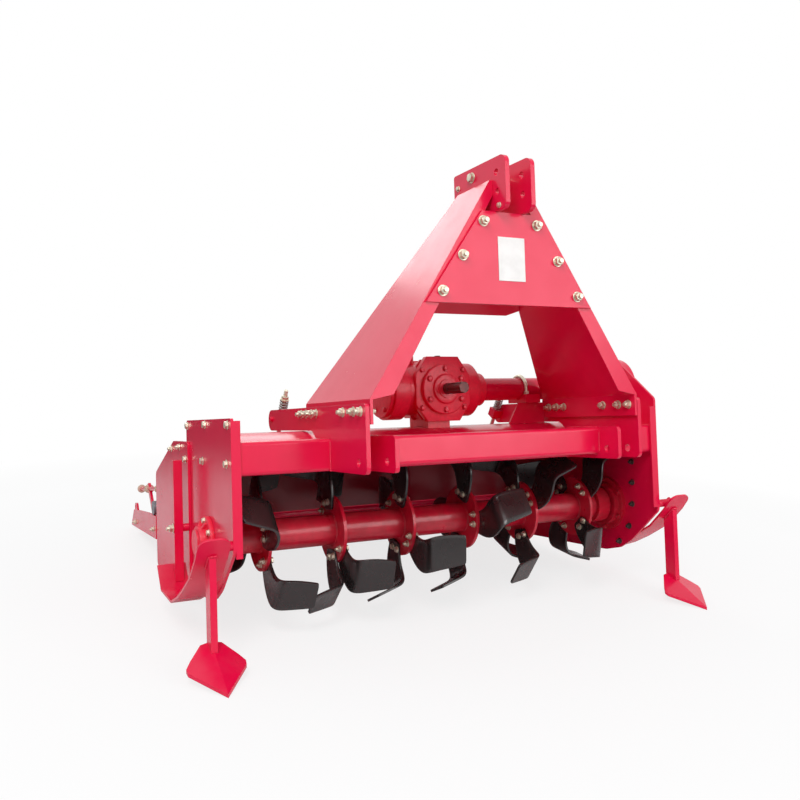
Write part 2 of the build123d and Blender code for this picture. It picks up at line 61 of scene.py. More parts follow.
def setCamera(setup):
    cameraData = bpy.data.cameras.new("viewCamera")
    cameraData.sensor_width = setup["sensor"]
    cameraData.lens = setup["lens"]
    cameraData.shift_x, cameraData.shift_y = setup["shift"]
    cameraData.clip_end = setup["reach"]
    camera = bpy.data.objects.new("viewCamera", cameraData)
    camera.location = setup["place"]
    camera.rotation_euler = [radians(angle) for angle in setup["turn"]]
    scene.collection.objects.link(camera)
    scene.camera = camera


# shader helpers

def addNode(tree, kind, inputs=None, **settings):
    node = tree.nodes.new(kind)
    for key, value in settings.items():
        setattr(node, key, value)
    for key, value in (inputs or {}).items():
        node.inputs[key].default_value = value
    return node


def feed(tree, socket, value):
    # links another node's output, or sets a plain value
    if hasattr(value, "links"):
        tree.links.new(value, socket)
    else:
        socket.default_value = value


def mixColor(tree, factor, first, second):
    node = addNode(tree, "ShaderNodeMix", data_type="RGBA")
    for number, value in ((0, factor), (6, first), (7, second)):
        feed(tree, node.inputs[number], value)
    return node.outputs[2]


def mathNode(tree, operation, *values, clamp=False):
    node = addNode(tree, "ShaderNodeMath", operation=operation, use_clamp=clamp)
    for socket, value in zip(node.inputs, values):
        feed(tree, socket, value)
    return node.outputs[0]


def spread(tree, value, low, high, outLow=0.0, outHigh=1.0):
    node = addNode(tree, "ShaderNodeMapRange", clamp=True)
    tree.links.new(value, node.inputs["Value"])
    limits = {"From Min": low, "From Max": high, "To Min": outLow, "To Max": outHigh}
    for key, number in limits.items():
        node.inputs[key].default_value = number
    return node.outputs["Result"]


def objectPlace(tree):
    return tree.nodes.new("ShaderNodeTexCoord").outputs["Object"]


def upwardPart(tree, vector):
    node = tree.nodes.new("ShaderNodeSeparateXYZ")
    tree.links.new(vector, node.inputs[0])
    return node.outputs["Z"]


def noiseNode(tree, coordinates, scale, detail, roughness=0.55):
    node = addNode(tree, "ShaderNodeTexNoise", {"Detail": detail, "Roughness": roughness})
    tree.links.new(coordinates, node.inputs["Vector"])
    feed(tree, node.inputs["Scale"], scale)
    return node.outputs["Fac"]


def newGroup(name, inputs, outputs):
    # inputs are numbers by name, outputs are kinds of socket by name
    group = bpy.data.node_groups.new(name, "ShaderNodeTree")
    for label, value in inputs.items():
        socket = group.interface.new_socket(
            name=label, in_out="INPUT", socket_type="NodeSocketFloat"
        )
        socket.default_value = value
    for label, kind in outputs.items():
        group.interface.new_socket(name=label, in_out="OUTPUT", socket_type=kind)
    start = group.nodes.new("NodeGroupInput")
    end = group.nodes.new("NodeGroupOutput")
    return group, start, end


# flatToSharp: how far the rounded normal agrees with the true one
wearLook = {
    "samples": 4, "flatToSharp": (0.995, 0.80),
    "detail": 4.0, "roughness": 0.65, "broken": (0.46, 0.62),
}


def makeEdgeWear(look):
    # rounded normal and a broken mask along the sharp edges
    group, start, end = newGroup(
        "edgeWear",
        {"Width": 0.002, "Amount": 0.5, "Scale": 60.0},
        {"Mask": "NodeSocketFloat", "Normal": "NodeSocketVector"},
    )
    rounded = addNode(group, "ShaderNodeBevel", samples=look["samples"])
    group.links.new(start.outputs["Width"], rounded.inputs["Radius"])
    geometry = group.nodes.new("ShaderNodeNewGeometry")
    turned = addNode(group, "ShaderNodeVectorMath", operation="DOT_PRODUCT")
    group.links.new(rounded.outputs["Normal"], turned.inputs[0])
    group.links.new(geometry.outputs["Normal"], turned.inputs[1])
    bend = spread(group, turned.outputs["Value"], *look["flatToSharp"])
    noise = noiseNode(
        group, objectPlace(group), start.outputs["Scale"], look["detail"], look["roughness"]
    )
    broken = spread(group, noise, *look["broken"])
    worn = mathNode(group, "MULTIPLY", bend, broken)
    worn = mathNode(group, "MULTIPLY", worn, start.outputs["Amount"], clamp=True)
    group.links.new(worn, end.inputs["Mask"])
    group.links.new(rounded.outputs["Normal"], end.inputs["Normal"])
    return group


# ranges: from low, from high, to low, to high
dustLook = {
    "facingUp": (0.25, 1.0, 0.12, 1.0), "nearFloor": (0.45, 0.02, 0.5, 1.0),
    "detail": 5.0, "roughness": 0.6, "cloud": (0.42, 0.72),
}


def makeDust(look):
    # pale dust that lies on what faces up, thicker low on the machine
    group, start, end = newGroup(
        "settledDust", {"Amount": 0.4, "Scale": 9.0}, {"Mask": "NodeSocketFloat"}
    )
    geometry = group.nodes.new("ShaderNodeNewGeometry")
    upward = spread(group, upwardPart(group, geometry.outputs["Normal"]), *look["facingUp"])
    place = objectPlace(group)
    low = spread(group, upwardPart(group, place), *look["nearFloor"])
    noise = noiseNode(group, place, start.outputs["Scale"], look["detail"], look["roughness"])
    mask = mathNode(group, "MULTIPLY", upward, low)
    mask = mathNode(group, "MULTIPLY", mask, spread(group, noise, *look["cloud"]))
    mask = mathNode(group, "MULTIPLY", mask, start.outputs["Amount"], clamp=True)
    group.links.new(mask, end.inputs["Mask"])
    return group


def makeGrain(coarseDetail=2.0, fineDetail=3.0):
    # two sizes of fine unevenness, as a height
    group, start, end = newGroup(
        "surfaceGrain",
        {"Coarse Scale": 40.0, "Fine Scale": 400.0, "Fine Share": 0.3},
        {"Height": "NodeSocketFloat", "Cloud": "NodeSocketFloat"},
    )
    place = objectPlace(group)
    coarse = noiseNode(group, place, start.outputs["Coarse Scale"], coarseDetail)
    fine = noiseNode(group, place, start.outputs["Fine Scale"], fineDetail)
    height = mathNode(group, "MULTIPLY_ADD", fine, start.outputs["Fine Share"], coarse)
    group.links.new(height, end.inputs["Height"])
    group.links.new(coarse, end.inputs["Cloud"])
    return group


edgeWear = makeEdgeWear(wearLook)
settledDust = makeDust(dustLook)
surfaceGrain = makeGrain()

# what a finish looks like: base colours, wear, dust, grain and gloss
finishes = {
    "redPaint": {
        "base": (0.80, 0.004, 0.058), "shade": (0.74, 0.003, 0.050),
        "worn": (0.42, 0.05, 0.07), "dusty": (0.74, 0.32, 0.36),
        "width": 0.0016, "wear": 0.5, "dust": 0.08, "grain": (14.0, 300.0, 0.06), "bump": 0.025,
        "rough": (0.18, 0.28), "coat": 0.16, "specular": 0.34, "slot": "red_paint",
    },
    "redCasting": {
        "base": (0.90, 0.009, 0.056), "shade": (0.72, 0.005, 0.040),
        "worn": (0.46, 0.06, 0.06), "dusty": (0.72, 0.30, 0.30),
        "width": 0.004, "wear": 0.3, "dust": 0.14, "grain": (90.0, 520.0, 0.5), "bump": 0.35,
        "rough": (0.32, 0.48), "coat": 0.2, "slot": "red_paint",
    },
    "rotorRed": {
        "base": (0.66, 0.006, 0.034), "shade": (0.42, 0.003, 0.018),
        "worn": (0.24, 0.05, 0.045), "dusty": (0.42, 0.20, 0.17),
        "width": 0.0022, "wear": 0.6, "dust": 0.25, "grain": (30.0, 380.0, 0.2), "bump": 0.08,
        "rough": (0.24, 0.42), "coat": 0.3, "slot": "red_paint",
    },
    "bladeBlack": {
        "base": (0.020, 0.015, 0.015), "shade": (0.012, 0.009, 0.009),
        "worn": (0.20, 0.16, 0.14), "dusty": (0.11, 0.085, 0.075),
        "width": 0.0016, "wear": 0.5, "dust": 0.14, "grain": (18.0, 420.0, 0.12), "bump": 0.06,
        "rough": (0.22, 0.34), "coat": 0.3, "slot": "black_blade",
    },
    "yellowZinc": {
        "base": (0.72, 0.67, 0.54), "shade": (0.56, 0.51, 0.40),
        "worn": (0.55, 0.53, 0.50), "dusty": (0.40, 0.33, 0.26),
        "width": 0.0008, "wear": 0.8, "dust": 0.25, "grain": (90.0, 700.0, 0.4), "bump": 0.06,
        "metal": 0.9, "rough": (0.28, 0.45), "slot": "zinc",
    },
    # dark bolts; on the right plate's case bolts this darkness is painted shade
    "darkBolt": {
        "base": (0.10, 0.085, 0.08), "shade": (0.05, 0.04, 0.04),
        "worn": (0.42, 0.38, 0.34), "dusty": (0.34, 0.26, 0.22),
        "width": 0.0008, "wear": 0.8, "dust": 0.2, "grain": (80.0, 700.0, 0.4), "bump": 0.08,
        "metal": 0.7, "rough": (0.32, 0.5), "slot": "bare_steel",
    },
    "bareSteel": {
        "base": (0.36, 0.34, 0.33), "shade": (0.24, 0.21, 0.20),
        "worn": (0.58, 0.56, 0.54), "dusty": (0.30, 0.22, 0.17),
        "width": 0.001, "wear": 0.8, "dust": 0.3, "grain": (60.0, 600.0, 0.4), "bump": 0.08,
        "metal": 0.9, "rough": (0.30, 0.5), "slot": "bare_steel",
    },
    "agedShaft": {
        "base": (0.16, 0.035, 0.035), "shade": (0.09, 0.05, 0.045),
        "worn": (0.42, 0.36, 0.33), "dusty": (0.30, 0.16, 0.13),
        "width": 0.001, "wear": 0.6, "dust": 0.3, "grain": (60.0, 600.0, 0.4), "bump": 0.08,
        "metal": 0.5, "rough": (0.30, 0.5), "coat": 0.1, "slot": "bare_steel",
    },
    "greyPipe": {
        "base": (0.24, 0.25, 0.27), "shade": (0.13, 0.13, 0.15),
        "worn": (0.45, 0.44, 0.42), "dusty": (0.40, 0.34, 0.30),
        "width": 0.0012, "wear": 0.6, "dust": 0.3, "grain": (50.0, 500.0, 0.3), "bump": 0.08,
        "metal": 0.7, "rough": (0.35, 0.55), "slot": "bare_steel",
    },
    "labelWhite": {
        "base": (0.86, 0.84, 0.82), "shade": (0.74, 0.72, 0.70),
        "worn": (0.55, 0.50, 0.48), "dusty": (0.6, 0.5, 0.46),
        "width": 0.0008, "wear": 0.7, "dust": 0.2, "grain": (30.0, 600.0, 0.2), "bump": 0.03,
        "rough": (0.35, 0.5), "coat": 0.2, "slot": "blank_label",
    },
}
# the hood's inside, up to the middle of its sheet, is darkened with painted shade
hoodInsideShade = {"radius": 0.3015, "paintedShade": (0.24, 0.005, 0.015)}
finishes["hoodPaint"] = dict(finishes["redPaint"], inside=hoodInsideShade)

# the same in every finish that doesn't say otherwise
finishRules = {
    "metal": 0.0, "coat": 0.0, "specular": 0.5, "coatRough": 0.12,
    "patches": (0.35, 0.65), "patchShare": 0.55,
    "glossFrom": (0.3, 0.8), "dustDull": 0.35, "bumpDepth": 0.001,
}


def withinRadius(tree, axle, radius):
    # one on faces nearer than the radius to an axis across the machine
    centre = standing @ Vector((0, *axle))
    flat = addNode(tree, "ShaderNodeVectorMath", {1: (0, 1, 1)}, operation="MULTIPLY")
    tree.links.new(objectPlace(tree), flat.inputs[0])
    away = addNode(tree, "ShaderNodeVectorMath", {1: centre}, operation="DISTANCE")
    tree.links.new(flat.outputs[0], away.inputs[0])
    return mathNode(tree, "LESS_THAN", away.outputs["Value"], radius)


def makeFinish(name, look):
    material = bpy.data.materials.new(name)
    material.use_nodes = True
    tree = material.node_tree
    shader = tree.nodes["Principled BSDF"]
    shader.inputs["Metallic"].default_value = look["metal"]
    shader.inputs["Coat Weight"].default_value = look["coat"]
    shader.inputs["Coat Roughness"].default_value = look["coatRough"]
    shader.inputs["Specular IOR Level"].default_value = look["specular"]
    grain = addNode(tree, "ShaderNodeGroup", node_tree=surfaceGrain)
    for label, value in zip(("Coarse Scale", "Fine Scale", "Fine Share"), look["grain"]):
        grain.inputs[label].default_value = value
    edges = addNode(tree, "ShaderNodeGroup", node_tree=edgeWear)
    edges.inputs["Width"].default_value = look["width"]
    edges.inputs["Amount"].default_value = look["wear"]
    dust = addNode(tree, "ShaderNodeGroup", node_tree=settledDust)
    dust.inputs["Amount"].default_value = look["dust"]

    patches = spread(tree, grain.outputs["Cloud"], *look["patches"])
    patchy = mixColor(tree, patches, (*look["base"], 1), (*look["shade"], 1))
    color = mixColor(tree, look["patchShare"], (*look["base"], 1), patchy)
    # painted shade: the hood's inside is darkened in its colour, where the hood's shadow falls
    if "inside" in look:
        inside = withinRadius(tree, axes["rotor"], look["inside"]["radius"])
        color = mixColor(tree, inside, color, (*look["inside"]["paintedShade"], 1))
    color = mixColor(tree, edges.outputs["Mask"], color, (*look["worn"], 1))
    color = mixColor(tree, dust.outputs["Mask"], color, (*look["dusty"], 1))
    tree.links.new(color, shader.inputs["Base Color"])

    gloss = spread(tree, grain.outputs["Height"], *look["glossFrom"], *look["rough"])
    dull = (dust.outputs["Mask"], look["dustDull"], gloss)
    tree.links.new(mathNode(tree, "MULTIPLY_ADD", *dull, clamp=True), shader.inputs["Roughness"])
    relief = {"Strength": look["bump"], "Distance": look["bumpDepth"]}
    bump = addNode(tree, "ShaderNodeBump", relief)
    tree.links.new(grain.outputs["Height"], bump.inputs["Height"])
    tree.links.new(edges.outputs["Normal"], bump.inputs["Normal"])
    tree.links.new(bump.outputs["Normal"], shader.inputs["Normal"])
    return material


materials = {name: makeFinish(name, {**finishRules, **look}) for name, look in finishes.items()}
print("finishes made", len(materials))


# modelling helpers: every piece is drawn in the level machine's metres

# a face looks along an axis when its normal's share of that axis is more
facingLimit = 0.9


def deselectAll():
    if bpy.context.mode != "OBJECT":
        bpy.ops.object.mode_set(mode="OBJECT")
    bpy.ops.object.select_all(action="DESELECT")


def pick(*pieces):
    deselectAll()
    for piece in pieces:
        piece.select_set(True)
    bpy.context.view_layer.objects.active = pieces[0]


def applyPlace(piece):
    pick(piece)
    bpy.ops.object.transform_apply(location=True, rotation=True, scale=True)


def facesUp(face):
    return face.normal.z > facingLimit


def selectParts(piece, rule, kind="FACE"):
    # leaves edit mode open with the faces or edges that the rule takes
    pick(piece)
    bpy.ops.object.mode_set(mode="EDIT")
    bpy.ops.mesh.select_mode(type=kind)
    bpy.ops.mesh.select_all(action="DESELECT")
    bpy.ops.object.mode_set(mode="OBJECT")
    for part in piece.data.polygons if kind == "FACE" else piece.data.edges:
        part.select = bool(rule(part))
    bpy.ops.object.mode_set(mode="EDIT")


def editAll(piece):
    # leaves edit mode open with everything selected
    pick(piece)
    bpy.ops.object.mode_set(mode="EDIT")
    bpy.ops.mesh.select_all(action="SELECT")


def turnOutwards(piece, merge=None):
    editAll(piece)
    if merge:
        bpy.ops.mesh.remove_doubles(threshold=merge)
    bpy.ops.mesh.normals_make_consistent(inside=False)
    deselectAll()


def addRod(radius, length, at=(0, 0, 0), axis="Z", sides=24):
    turn = {"Y": (pi / 2, 0, 0), "Z": (0, 0, 0)}[axis]
    deselectAll()
    bpy.ops.mesh.primitive_cylinder_add(
        vertices=sides, radius=radius, depth=length, location=at, rotation=turn
    )
    piece = bpy.context.object
    applyPlace(piece)
    return piece


def addDisc(radius, at, sides, turn=(0, 0, 0)):
    deselectAll()
    bpy.ops.mesh.primitive_circle_add(
        vertices=sides, radius=radius, fill_type="NGON", location=at, rotation=turn
    )
    piece = bpy.context.object
    applyPlace(piece)
    return piece


def bevelAll(piece, width, segments=2, angle=30):
    pick(piece)
    bevel = piece.modifiers.new("edges", "BEVEL")
    bevel.width = width
    bevel.segments = segments
    bevel.limit_method = "ANGLE"
    bevel.angle_limit = radians(angle)
    bpy.ops.object.modifier_apply(modifier=bevel.name)


def joinPieces(pieces):
    pick(*pieces)
    if len(pieces) > 1:
        bpy.ops.object.join()
    return bpy.context.object


def copyTo(model, matrix):
    copy = model.copy()
    copy.data = model.data.copy()
    scene.collection.objects.link(copy)
    copy.matrix_world = matrix
    return copy


def facing(at, direction, roll=0.0):
    turn = Vector(direction).to_track_quat("Z", "Y").to_matrix().to_4x4()
    return Matrix.Translation(at) @ turn @ Matrix.Rotation(roll, 4, "Z")


def removeModels(*models):
    for model in models:
        bpy.data.objects.remove(model, do_unlink=True)


def finishPiece(piece, name, body, finish, smooth=35, stand=True):
    if stand:
        piece.matrix_world = standing @ piece.matrix_world
    applyPlace(piece)
    bpy.ops.object.shade_smooth_by_angle(angle=radians(smooth))
    piece.name = name
    piece.data.name = name
    piece.data.materials.clear()
    piece.data.materials.append(materials[finish])
    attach(piece, body)
    return piece


# finishes of the frame's own nodes, the others are redPaint
nodeFinish = {
    "hoodPaint": ("rotor_hood",),
    "rotorRed": ("rotor_shaft", "bearing_hub", "rotor_bearing"),
    "redCasting": ("gearbox_housing", "gearbox_cap", "gearbox_foot"),
    "bladeBlack": tuple(f"blade_set_{number}" for number in range(1, 7)),
    "yellowZinc": ("clevis_spacer",),
    "bareSteel": ("pto_shaft", "spring_rod_left", "spring_rod_right"),
    "greyPipe": ("board_pipe",),
    "labelWhite": ("label_plate",),
}
finishOf = {node: finish for finish, names in nodeFinish.items() for node in names}
for name, piece in nodes.items():
    piece.data.materials.clear()
    piece.data.materials.append(materials[finishOf.get(name, "redPaint")])
print("nodes painted")


# bolts, nuts and studs; stud, soften, chamfer and crown are shares of a width or height

boltShape = {
    "across": 0.019, "nutHeight": 0.009, "headHeight": 0.0075, "studOut": 0.009, "stud": 0.3,
    "washer": 0.0135, "washerThick": 0.002, "washerSides": 20, "soften": 0.3,
}
hexShape = {"chamfer": 0.09, "crown": 0.10}
threadShape = {"pitch": 0.0016, "root": 0.90, "sides": 14}


def modelHexagon(across, height, base):
    piece = addRod(across / sqrt(3), height, (0, 0, base + height / 2), sides=6)
    selectParts(piece, facesUp)
    bpy.ops.mesh.inset(thickness=across * hexShape["chamfer"])
    bpy.ops.transform.translate(value=(0, 0, height * hexShape["crown"]))
    deselectAll()
    return piece


def modelThread(radius, length, base):
    pitch, root = threadShape["pitch"], threadShape["root"]
    piece = addRod(radius, pitch, (0, 0, base + pitch / 2), sides=threadShape["sides"])
    selectParts(piece, facesUp)
    for turn in range(max(int(length / pitch) - 1, 1)):
        size = root if turn % 2 == 0 else 1 / root
        bpy.ops.mesh.extrude_region_move(TRANSFORM_OT_translate={"value": (0, 0, pitch)})
        bpy.ops.transform.resize(value=(size, size, 1))
    deselectAll()
    return piece


def modelBolt(shape, height, studOut=0):
    # a head or a nut on its washer, and a nut's stud
    thick = shape["washerThick"]
    washer = addRod(shape["washer"], thick, (0, 0, thick / 2), sides=shape["washerSides"])
    bevelAll(washer, thick * shape["soften"], 1)
    parts = [washer, modelHexagon(shape["across"], height, thick)]
    if studOut:
        parts.append(modelThread(shape["across"] * shape["stud"], studOut, thick + height))
    return joinPieces(parts)


def scatter(model, places, name, body, finish):
    # places: point, direction, size, roll
    copies = []
    for at, direction, size, roll in places:
        copies.append(copyTo(model, facing(at, direction, roll) @ Matrix.Scale(size, 4)))
    for copy in copies:
        applyPlace(copy)
    return finishPiece(joinPieces(copies), name, body, finish)


def platePlaces(points, x, size, roll, sides=(-1, 1), outward=True):
    # on plates at x and its mirror; points are y and z, and roll turns each by its y
    places = []
    for y, z in points:
        for side in sides:
            direction = (side if outward else -side, 0, 0)
            places.append(((side * x, y, z), direction, size, y * roll))
    return places


def ringPlaces(centre, direction, radius, size, angles):
    # round an axis that runs the way the bolts face, across the machine or along it
    x, y, z = centre
    places = []
    for angle in angles:
        aside, rise = radius * cos(angle), radius * sin(angle)
        at = (x, y + aside, z + rise) if direction[0] else (x + aside, y, z + rise)
        places.append((at, direction, size, angle))
    return places


def evenAngles(count, shift=0.0):
    return [2 * pi * (number + shift) / count for number in range(count)]


def modelRing(outer, inner, length, sides=28):
    # a tube along z with an open bore
    piece = addRod(outer, length, sides=sides)
    selectParts(piece, lambda face: abs(face.normal.z) > facingLimit)
    bpy.ops.mesh.inset(thickness=outer - inner)
    bpy.ops.mesh.bridge_edge_loops()
    deselectAll()
    return piece


studNut = modelBolt(boltShape, boltShape["nutHeight"], boltShape["studOut"])
boltHead = modelBolt(boltShape, boltShape["headHeight"])

# mast feet to the hitch plates: nuts outside and inside
hitchBolts = {
    "z": 0.679, "y": (0.028, 0.073, 0.143, 0.339, 0.380, 0.421, 0.461),
    "outside": 0.456, "inside": 0.434, "rolls": (9, 5),
}
points = [(y, hitchBolts["z"]) for y in hitchBolts["y"]]
places = platePlaces(points, hitchBolts["outside"], 1, hitchBolts["rolls"][0])
places += platePlaces(points, hitchBolts["inside"], 1, hitchBolts["rolls"][1], outward=False)
scatter(studNut, places, "hitchBolts", "frame", "yellowZinc")

# front gusset: points are x and z
gussetBolts = {
    "points": ((0.089, 1.190), (0.158, 1.092), (0.224, 0.993)),
    "face": -0.008, "size": 1.15, "roll": 20,
}
places = []
for x, z in gussetBolts["points"]:
    for side in (-1, 1):
        at = (side * x, gussetBolts["face"], z)
        places.append((at, front, gussetBolts["size"], x * gussetBolts["roll"] * side))
scatter(studNut, places, "gussetBolts", "frame", "yellowZinc")

# top clevis: a through bolt, and small bolts into the mast
clevisBolts = {
    "x": 0.049, "through": ((0.104, 1.343),), "small": ((0.180, 1.331), (-0.030, 1.232)),
    "sizes": (1.15, 0.62), "roll": 6,
}
places = []
for group, size in zip(("through", "small"), clevisBolts["sizes"]):
    places += platePlaces(clevisBolts[group], clevisBolts["x"], size, clevisBolts["roll"])
scatter(boltHead, places, "clevisBolts", "frame", "yellowZinc")

# left side plate, and one bolt where the rear plate laps it
plateBolts = {
    "points": ((0.722, 0.655), (0.500, 0.657), (0.258, 0.655), (0.537, 0.551), (0.274, 0.551)),
    "face": 0.738, "lapped": ((0.728, 0.551),), "lappedFace": 0.746, "size": 0.9, "roll": 9,
}
places = []
for group, face in (("points", "face"), ("lapped", "lappedFace")):
    x, size, roll = plateBolts[face], plateBolts["size"], plateBolts["roll"]
    places += platePlaces(plateBolts[group], x, size, roll, sides=(-1,))
scatter(boltHead, places, "plateBolts", "frame", "yellowZinc")
print("plate bolts placed")

# right plate, round its bearing; its bolts take the dark finish as painted shade
caseBolts = {
    "points": (
        (0.347, 0.480), (0.348, 0.407), (0.352, 0.331), (0.372, 0.252),
        (0.425, 0.193), (0.530, 0.205), (0.610, 0.260),
    ),
    "face": 0.730, "size": 0.8, "roll": 8,
}
x, size, roll = caseBolts["face"], caseBolts["size"], caseBolts["roll"]
places = platePlaces(caseBolts["points"], x, size, roll, sides=(1,), outward=False)
scatter(studNut, places, "caseBolts", "frame", "darkBolt")

# lapped rear plates, and the board's cheeks
flankNuts = {
    "rearPlateNuts": ("frame", ((0.810, 0.588), (0.928, 0.580))),
    "cheekBolts": ("bed_board", ((1.279, 0.275), (1.668, 0.264))),
}
flankNut = {"face": 0.746, "size": 0.8, "roll": 7}
for name, (body, points) in flankNuts.items():
    places = platePlaces(points, flankNut["face"], flankNut["size"], flankNut["roll"])
    scatter(studNut, places, name, body, "yellowZinc")

# rotor: two bolts hold each blade to its disc
# leads: each disc's right and left blade in degrees, from the left end to the right
# shank: the angles that a blade of the disc's other face covers
rotorShape = {
    "first": -0.588, "pitch": 0.2315, "trail": 18, "disc": 0.005, "blade": 0.008,
    "leads": ((-131, -25), (-144, -115), (-159, -93), (167, -91), (132, -122), (118, -150)),
    "holes": ((0.079, 0.029), (0.062, 0.056)), "shank": (7, 70), "shared": 13, "boltSize": 0.82,
}
discPlaces = [rotorShape["first"] + number * rotorShape["pitch"] for number in range(6)]


def nutSeat(shape, angle, otherLead):
    # how far from the disc a nut sits, or none where a bolt of the other face's blade is
    for turn in (0, 180):
        offset = (degrees(angle) - otherLead + shape["trail"] - turn + 180) % 360 - 180
        for out, ahead in shape["holes"]:
            if abs(offset - degrees(atan2(ahead, out))) < shape["shared"]:
                return None
        if shape["shank"][0] < offset < shape["shank"][1]:
            return shape["blade"]
    return 0.0


def rotorBoltPlaces(shape):
    heads, nuts = [], []
    (axleY, axleZ), size = axes["rotor"], shape["boltSize"]
    turns = [(turn, hole) for turn in (0, 180) for hole in shape["holes"]]
    for x, leads in zip(discPlaces, shape["leads"]):
        for side, lead, other in ((1, leads[0], leads[1]), (-1, leads[1], leads[0])):
            for turn, (out, ahead) in turns:
                angle = radians(lead - shape["trail"] + turn) + atan2(ahead, out)
                reach = hypot(out, ahead)
                y, z = axleY + reach * cos(angle), axleZ + reach * sin(angle)
                away = side * (shape["disc"] + shape["blade"])
                heads.append(((x + away, y, z), (side, 0, 0), size, angle))
                seat = nutSeat(shape, angle, other)
                if seat is not None:
                    away = side * (shape["disc"] + seat)
                    nuts.append(((x - away, y, z), (-side, 0, 0), size, angle))
    return heads, nuts


# blades: a bent sheet grown row by row from the disc to the wing's tip
# its own frame: x across, y out from the rotor, z the way it turns
# columns of rows: across, out, trail, lead
# foot: a point and a normal that cut the sheet at the disc
bladeShape = {
    "thick": 0.008, "strip": 0.004, "foot": ((0.065, 0.014), (0.045, 0.036)),
    "soften": (0.0012, 2, 50), "smooth": 40,
    "rows": (
        (0.004, 0.025, 0.005, 0.052), (0.004, 0.045, 0.008, 0.080), (0.004, 0.075, 0.020, 0.108),
        (0.004, 0.105, 0.031, 0.127), (0.004, 0.135, 0.034, 0.134), (0.004, 0.158, 0.029, 0.132),
        (0.0075, 0.175, 0.022, 0.127), (0.017, 0.187, 0.017, 0.122), (0.030, 0.193, 0.014, 0.118),
        (0.060, 0.2015, 0.012, 0.113), (0.090, 0.210, 0.014, 0.107), (0.104, 0.2142, 0.015, 0.104),
        (0.110, 0.216, 0.016, 0.102),
    ),
}


def modelBlade(shape):
    rows = shape["rows"]
    across, out, trail, lead = rows[0]
    deselectAll()
    bpy.ops.mesh.primitive_grid_add(x_subdivisions=4, y_subdivisions=1, size=1)
    blade = bpy.context.object
    middle = (across, out - shape["strip"] / 2, (trail + lead) / 2)
    blade.matrix_world = Matrix.Translation(middle) @ Matrix.Rotation(-pi / 2, 4, "Y")
    blade.scale = (lead - trail, shape["strip"], 1)
    applyPlace(blade)

    def inFarRow(edge):
        return all(blade.data.vertices[corner].co.y > middle[1] for corner in edge.vertices)

    selectParts(blade, inFarRow, "EDGE")
    for before, after in zip(rows, rows[1:]):
        heightBefore, height = (before[2] + before[3]) / 2, (after[2] + after[3]) / 2
        step = (after[0] - before[0], after[1] - before[1], height - heightBefore)
        widen = (after[3] - after[2]) / (before[3] - before[2])
        bpy.ops.mesh.extrude_region_move(TRANSFORM_OT_translate={"value": step})
        centre = (after[0], after[1], height)
        bpy.ops.transform.resize(value=(1, 1, widen), center_override=centre)
    bpy.ops.mesh.select_all(action="SELECT")
    point, normal = shape["foot"]
    bpy.ops.mesh.bisect(plane_co=(0, *point), plane_no=(0, *normal), clear_inner=True)
    pick(blade)
    smooth = blade.modifiers.new("smooth", "SUBSURF")
    smooth.levels = smooth.render_levels = 1
    wall = blade.modifiers.new("wall", "SOLIDIFY")
    wall.thickness = shape["thick"]
    wall.offset = 0
    for name in ("smooth", "wall"):
        bpy.ops.object.modifier_apply(modifier=name)
    bevelAll(blade, *shape["soften"])
    return blade


def bladePlaces(shape, leads, x):
    places = []
    for side, lead in ((1, leads[0]), (-1, leads[1])):
        disc = Matrix.Translation((x + side * shape["disc"], *axes["rotor"]))
        for turn in (0, 180):
            spin = Matrix.Rotation(radians(lead - shape["trail"] + turn), 4, "X")
            places.append(disc @ spin @ Matrix.Diagonal((side, 1, 1, 1)))
    return places


bladeModel = modelBlade(bladeShape)
for number, (x, leads) in enumerate(zip(discPlaces, rotorShape["leads"]), 1):
    copies = []
    for place in bladePlaces(rotorShape, leads, x):
        copies.append(copyTo(bladeModel, place))
        applyPlace(copies[-1])
        turnOutwards(copies[-1])
    blades = joinPieces(copies)
    finishPiece(blades, f"discBlades_{number}", "rotor", "bladeBlack", smooth=bladeShape["smooth"])
    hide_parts(f"blade_set_{number}")
removeModels(bladeModel)
print("blades made")

heads, nuts = rotorBoltPlaces(rotorShape)
scatter(boltHead, heads, "bladeBolts", "rotor", "yellowZinc")
scatter(studNut, nuts, "bladeNuts", "rotor", "yellowZinc")
print("blade bolts placed", len(heads))

# bearings: rings of bolts round the rotor's ends; x, radius, size, finish
bearingRings = {
    "hubBolts": (0.716, 0.0845, 0.62, "rotorRed"),
    "bearingBolts": (-0.750, 0.0585, 0.75, "yellowZinc"),
}
for name, (x, radius, size, finish) in bearingRings.items():
    places = ringPlaces((x, *axes["rotor"]), left, radius, size, evenAngles(6, 0.5))
    scatter(boltHead, places, name, "frame", finish)

# left bearing: a flanged casting with ribs and a dished cap, along the rotor's axis
bearingShape = {
    "plate": -0.738, "flange": 0.012, "radius": 0.070, "bore": 0.0255,
    "hub": 0.044, "hubStart": 0.002, "hubEnd": -0.774,
    "cap": 0.036, "capEnd": -0.780, "dish": (0.012, 0.002),
    "ribs": 6, "ribThick": 0.007, "ribHigh": 0.020, "ribRoot": 0.006, "ribReach": 0.062,
    "ribTaper": 0.45, "ribSink": 0.001, "soften": (0.0012, 2, 40),
}


def modelRib(shape):
    start, base = shape["hub"] - shape["ribRoot"], shape["flange"] - shape["ribSink"]
    middle = ((start + shape["ribReach"]) / 2, 0, base + shape["ribHigh"] / 2)
    deselectAll()
    bpy.ops.mesh.primitive_cube_add(size=1, location=middle)
    rib = bpy.context.object
    rib.scale = (shape["ribReach"] - start, shape["ribThick"], shape["ribHigh"])
    applyPlace(rib)
    selectParts(rib, lambda face: face.normal.x > facingLimit)
    bpy.ops.transform.resize(value=(1, 1, shape["ribTaper"]), center_override=(0, 0, base))
    deselectAll()
    return rib


